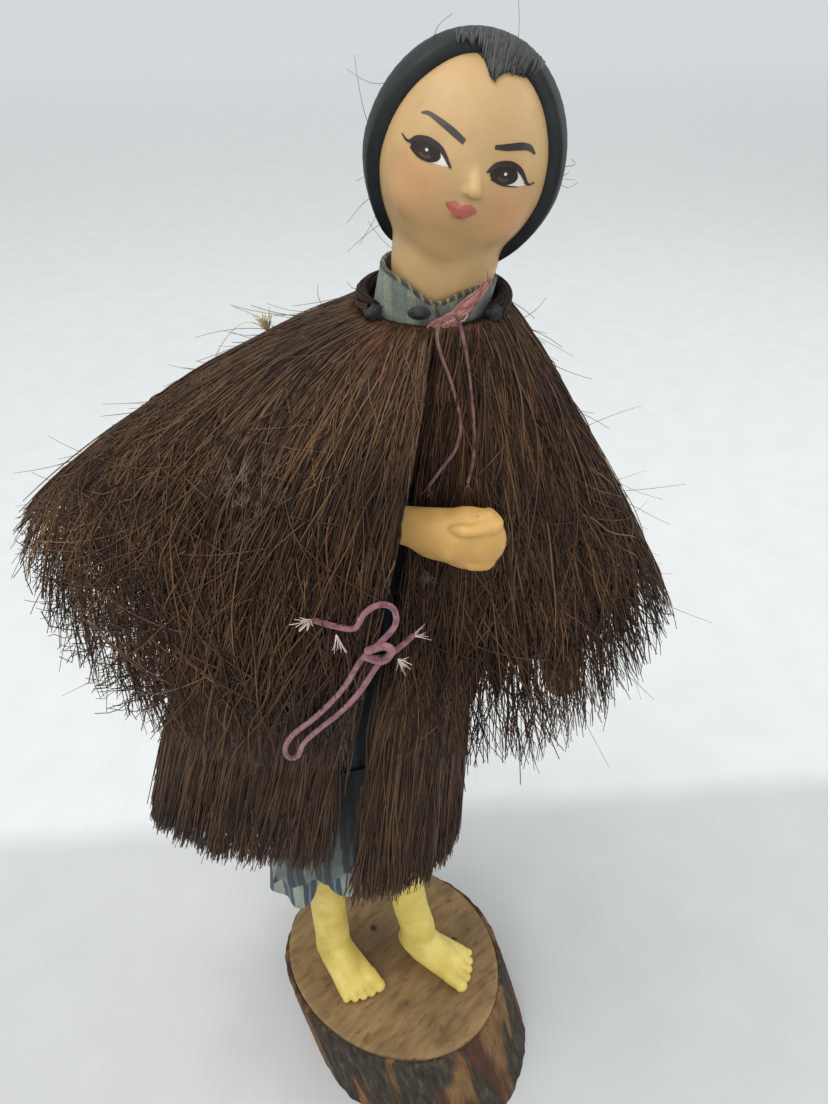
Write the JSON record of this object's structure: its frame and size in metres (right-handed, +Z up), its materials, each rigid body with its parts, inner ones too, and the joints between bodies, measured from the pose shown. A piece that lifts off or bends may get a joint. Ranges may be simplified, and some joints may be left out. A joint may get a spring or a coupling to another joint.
{
  "type": "costume doll in a fibre rain cape",
  "caption": "Standing costume doll with a moulded head, hands and feet, striped cloth clothes and a palm-fibre rain cape, on a slice of branch.",
  "frame": {"origin": "the point of the wooden slice's flat underside that is straight below the middle of its top face; the slice is cut obliquely, so its underside lies 12 mm towards the toes", "axes": "+Z up; the bare feet point along -Y; the doll's left is +X; the upper body and face are turned 48 degrees from -Y towards -X"},
  "size_m": [0.1093, 0.1017, 0.267],
  "materials": {
    "face_paint": "matt painted composition, warm ochre skin",
    "hair_paint": "satin blue-black paint over moulded hair",
    "hand_paint": "matt ochre paint, worn white at the knuckles",
    "foot_paint": "pale yellow paint with rubbed patches",
    "palm_fibre": "dark brown palm fibre, combed outwards",
    "fibre_binding": "twisted dark palm fibre",
    "striped_cloth": "grey-green and dark blue striped cotton",
    "collar_cloth": "grey-green cotton with pale piping",
    "sleeve_cloth": "dark blue cotton",
    "cotton": "raw cotton wadding wound on wire",
    "steel": "plain soft wire",
    "wood": "sawn branch wood under thin varnish",
    "bark": "rough bark, peeled in strips",
    "pink_cord": "faded pink cotton cord",
    "black_cord": "black cord knot"
  },
  "bodies": {
    "figure": {"base_slice": "wood", "base_bark": "bark", "right_leg": "foot_paint", "left_leg": "foot_paint", "right_foot_pin": "steel", "left_foot_pin": "steel", "right_leg_wire": "steel", "left_leg_wire": "steel", "right_thigh_padding": "cotton", "left_thigh_padding": "cotton", "right_trouser_leg": "striped_cloth", "left_trouser_leg": "striped_cloth", "pelvis_block": "wood", "spine_wire": "steel", "torso_padding": "cotton", "arm_wire": "steel", "right_arm_padding": "cotton", "left_arm_padding": "cotton", "right_sleeve": "sleeve_cloth", "left_sleeve": "sleeve_cloth", "tunic_body": "striped_cloth", "tunic_front_flap": "striped_cloth", "tunic_collar": "collar_cloth", "collar_knot": "black_cord", "cape_mantle": "palm_fibre", "cape_skirt": "palm_fibre", "mantle_neck_binding": "fibre_binding", "skirt_waist_binding": "fibre_binding", "waist_tie_cord": "pink_cord", "neck_tie_cord": "pink_cord", "neck_peg": "wood"},
    "head": {"head": "face_paint", "hair_cap": "hair_paint"},
    "right_hand": {"right_hand": "hand_paint"},
    "left_hand": {"left_hand": "hand_paint"}
  },
  "joints": [
    {"name": "head_turn", "type": "hinge", "parent": "figure", "child": "head", "pos_m": [0.0035, -0.0153, 0.2515], "axis": [0.1227, -0.1139, 0.9859], "range_deg": [-45, 45]},
    {"name": "right_hand_turn", "type": "hinge", "parent": "figure", "child": "right_hand", "pos_m": [-0.0176, -0.0244, 0.2071], "axis": [0.6414, -0.7642, -0.0682], "range_deg": [-35, 35]},
    {"name": "left_hand_turn", "type": "hinge", "parent": "figure", "child": "left_hand", "pos_m": [0.0146, -0.0344, 0.178], "axis": [-0.1761, -0.1761, -0.9685], "range_deg": [-35, 35]}
  ]
}
